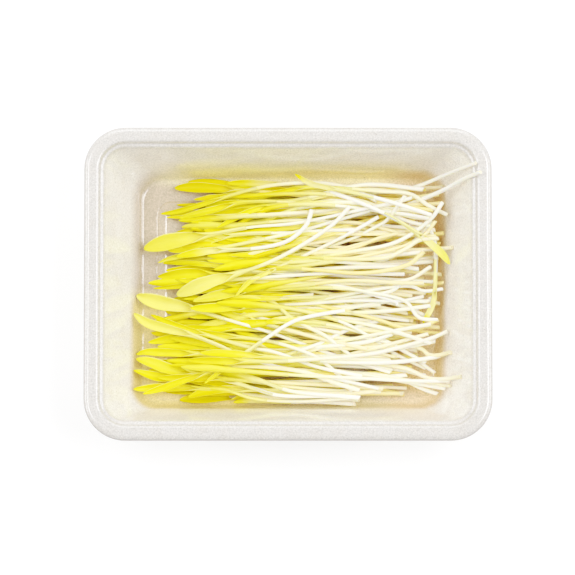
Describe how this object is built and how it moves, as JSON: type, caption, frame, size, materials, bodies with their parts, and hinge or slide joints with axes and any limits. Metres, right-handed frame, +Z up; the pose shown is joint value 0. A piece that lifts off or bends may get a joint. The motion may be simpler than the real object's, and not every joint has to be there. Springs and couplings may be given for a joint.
{
  "type": "corn microgreens",
  "caption": "Cut yellow corn shoots, blades to one end and pale stems to the other, heaped lengthways in a shallow moulded fibre tray with a flat rim.",
  "frame": {"origin": "centre of the foot of the tray, on the surface that it stands on", "axes": "+X along the tray's long side, from the leaf tips towards the cut ends; +Z up out of the tray"},
  "size_m": [0.17, 0.131, 0.0447],
  "materials": {
    "moulded_fibre": "matte",
    "corn_shoot": "satin, fresh leaf"
  },
  "bodies": {
    "root": {"shoot_01": "corn_shoot", "shoot_02": "corn_shoot", "shoot_03": "corn_shoot", "shoot_04": "corn_shoot", "shoot_05": "corn_shoot", "shoot_06": "corn_shoot", "shoot_07": "corn_shoot", "shoot_08": "corn_shoot", "shoot_09": "corn_shoot", "shoot_10": "corn_shoot", "shoot_11": "corn_shoot", "shoot_12": "corn_shoot", "shoot_13": "corn_shoot", "shoot_14": "corn_shoot", "shoot_15": "corn_shoot", "shoot_16": "corn_shoot", "shoot_17": "corn_shoot", "shoot_18": "corn_shoot", "shoot_19": "corn_shoot", "shoot_20": "corn_shoot", "shoot_21": "corn_shoot", "shoot_22": "corn_shoot", "shoot_23": "corn_shoot", "shoot_24": "corn_shoot", "shoot_25": "corn_shoot", "shoot_26": "corn_shoot", "shoot_27": "corn_shoot", "shoot_28": "corn_shoot", "shoot_29": "corn_shoot", "shoot_30": "corn_shoot", "shoot_31": "corn_shoot", "shoot_32": "corn_shoot", "shoot_33": "corn_shoot", "shoot_34": "corn_shoot", "shoot_35": "corn_shoot", "shoot_36": "corn_shoot", "shoot_37": "corn_shoot", "shoot_38": "corn_shoot", "shoot_39": "corn_shoot", "shoot_40": "corn_shoot", "spray_01": "corn_shoot", "spray_02": "corn_shoot", "spray_03": "corn_shoot", "spray_04": "corn_shoot", "spray_05": "corn_shoot", "spray_06": "corn_shoot", "spray_07": "corn_shoot", "spray_08": "corn_shoot", "spray_09": "corn_shoot", "spray_10": "corn_shoot", "spray_11": "corn_shoot", "spray_12": "corn_shoot", "spray_13": "corn_shoot", "spray_14": "corn_shoot", "spray_15": "corn_shoot", "spray_16": "corn_shoot", "tray": "moulded_fibre"}
  },
  "joints": []
}
